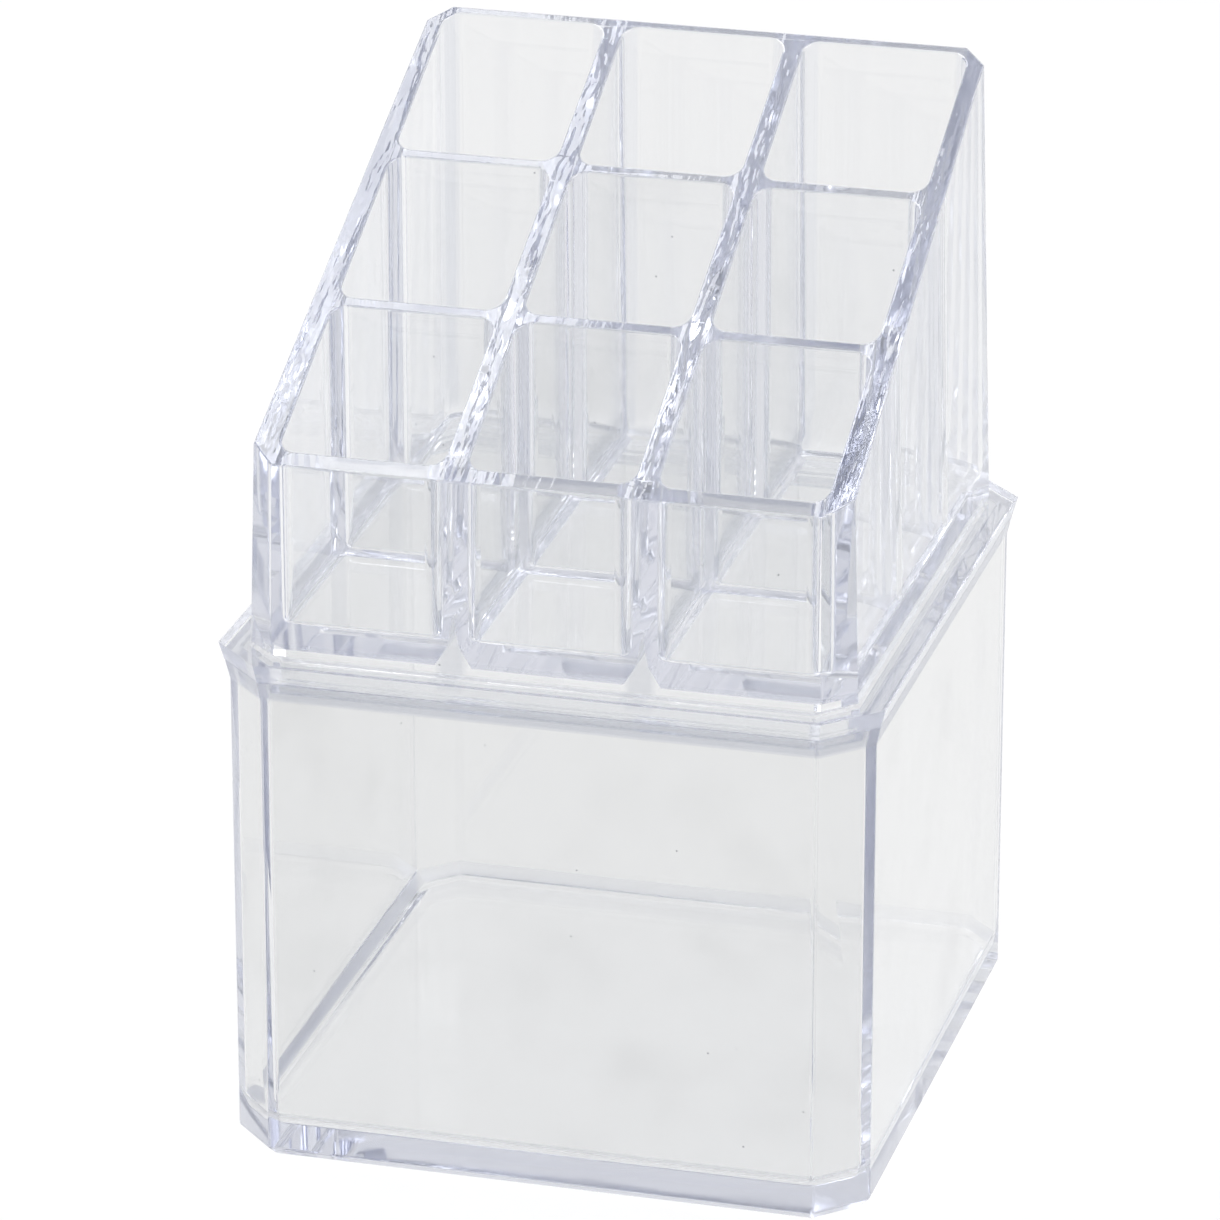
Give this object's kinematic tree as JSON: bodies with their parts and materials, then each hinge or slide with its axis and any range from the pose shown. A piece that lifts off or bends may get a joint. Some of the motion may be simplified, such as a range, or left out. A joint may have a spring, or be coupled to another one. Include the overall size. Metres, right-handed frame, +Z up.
{
  "type": "vanity organizer",
  "caption": "Clear square storage box with cut corners under a lift-off lid moulded in one with a slanted lipstick rack of upright pockets.",
  "frame": {"origin": "middle of the flat underside of the box", "axes": "+Z up, +X to the right, -Y towards the front, the low side of the rack"},
  "size_m": [0.0944, 0.0984, 0.1417],
  "materials": {
    "box_plastic": "clear polished moulded styrene",
    "lid_plastic": "clear polished moulded styrene"
  },
  "bodies": {
    "box": {"storage_box": "box_plastic"},
    "lid": {"lipstick_lid": "lid_plastic"}
  },
  "joints": [
    {"name": "lid_lift", "type": "slide", "parent": "box", "child": "lid", "axis": [0, 0, 1], "range_m": [0, 0.1]}
  ]
}
